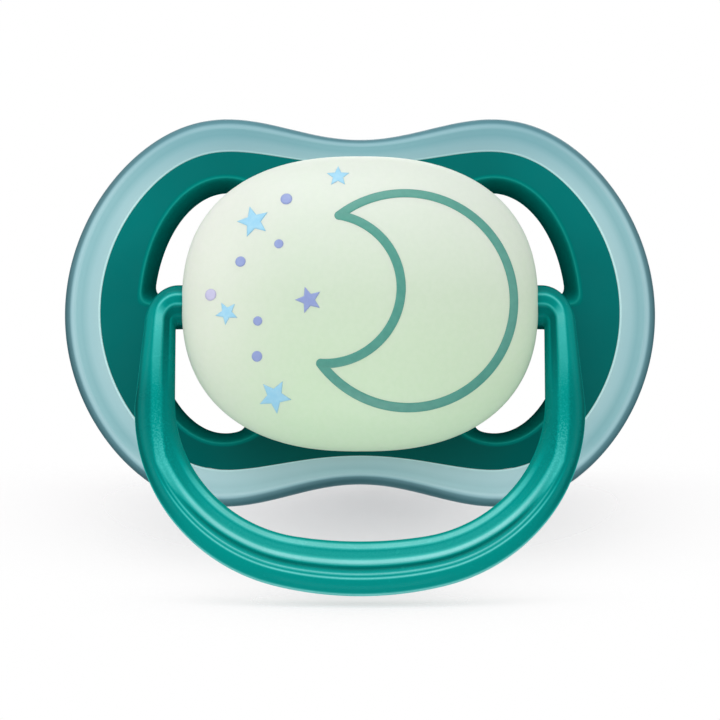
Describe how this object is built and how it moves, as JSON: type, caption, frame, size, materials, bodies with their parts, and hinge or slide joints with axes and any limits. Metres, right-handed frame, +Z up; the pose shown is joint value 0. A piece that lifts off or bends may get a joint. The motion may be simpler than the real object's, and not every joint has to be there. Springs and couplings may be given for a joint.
{
  "type": "pacifier",
  "caption": "Pacifier with a butterfly-shaped vented shield, soft rim, domed cover, swinging ring handle and silicone teat.",
  "frame": {"origin": "at the crown of the cover, where the object rests, on the teat's axis", "axes": "+X along the shield and the ring's pivot, +Y along the teat to the mouth, -Y out of the cover, +Z up with the ring hanging down"},
  "size_m": [0.058, 0.0438, 0.0456],
  "materials": {
    "shield": "glossy dark teal",
    "rim": "cloudy translucent satin",
    "cover": "pale green satin",
    "ring": "translucent glossy teal",
    "silicone": "frosted bulb on a clear neck",
    "plug": "glossy teal",
    "housing": "moulded off-white"
  },
  "bodies": {
    "body": {"shield_plate": "shield", "shield_rim": "rim", "button_cover": "cover", "teat": "silicone", "teat_plug": "plug", "base_housing": "housing"},
    "ring": {"handle_ring": "ring"}
  },
  "joints": [
    {"name": "ring_swing", "type": "hinge", "parent": "body", "child": "ring", "pos_m": [0, 0.0088, 0], "axis": [-1, 0, 0], "range_deg": [-23, 173]}
  ]
}
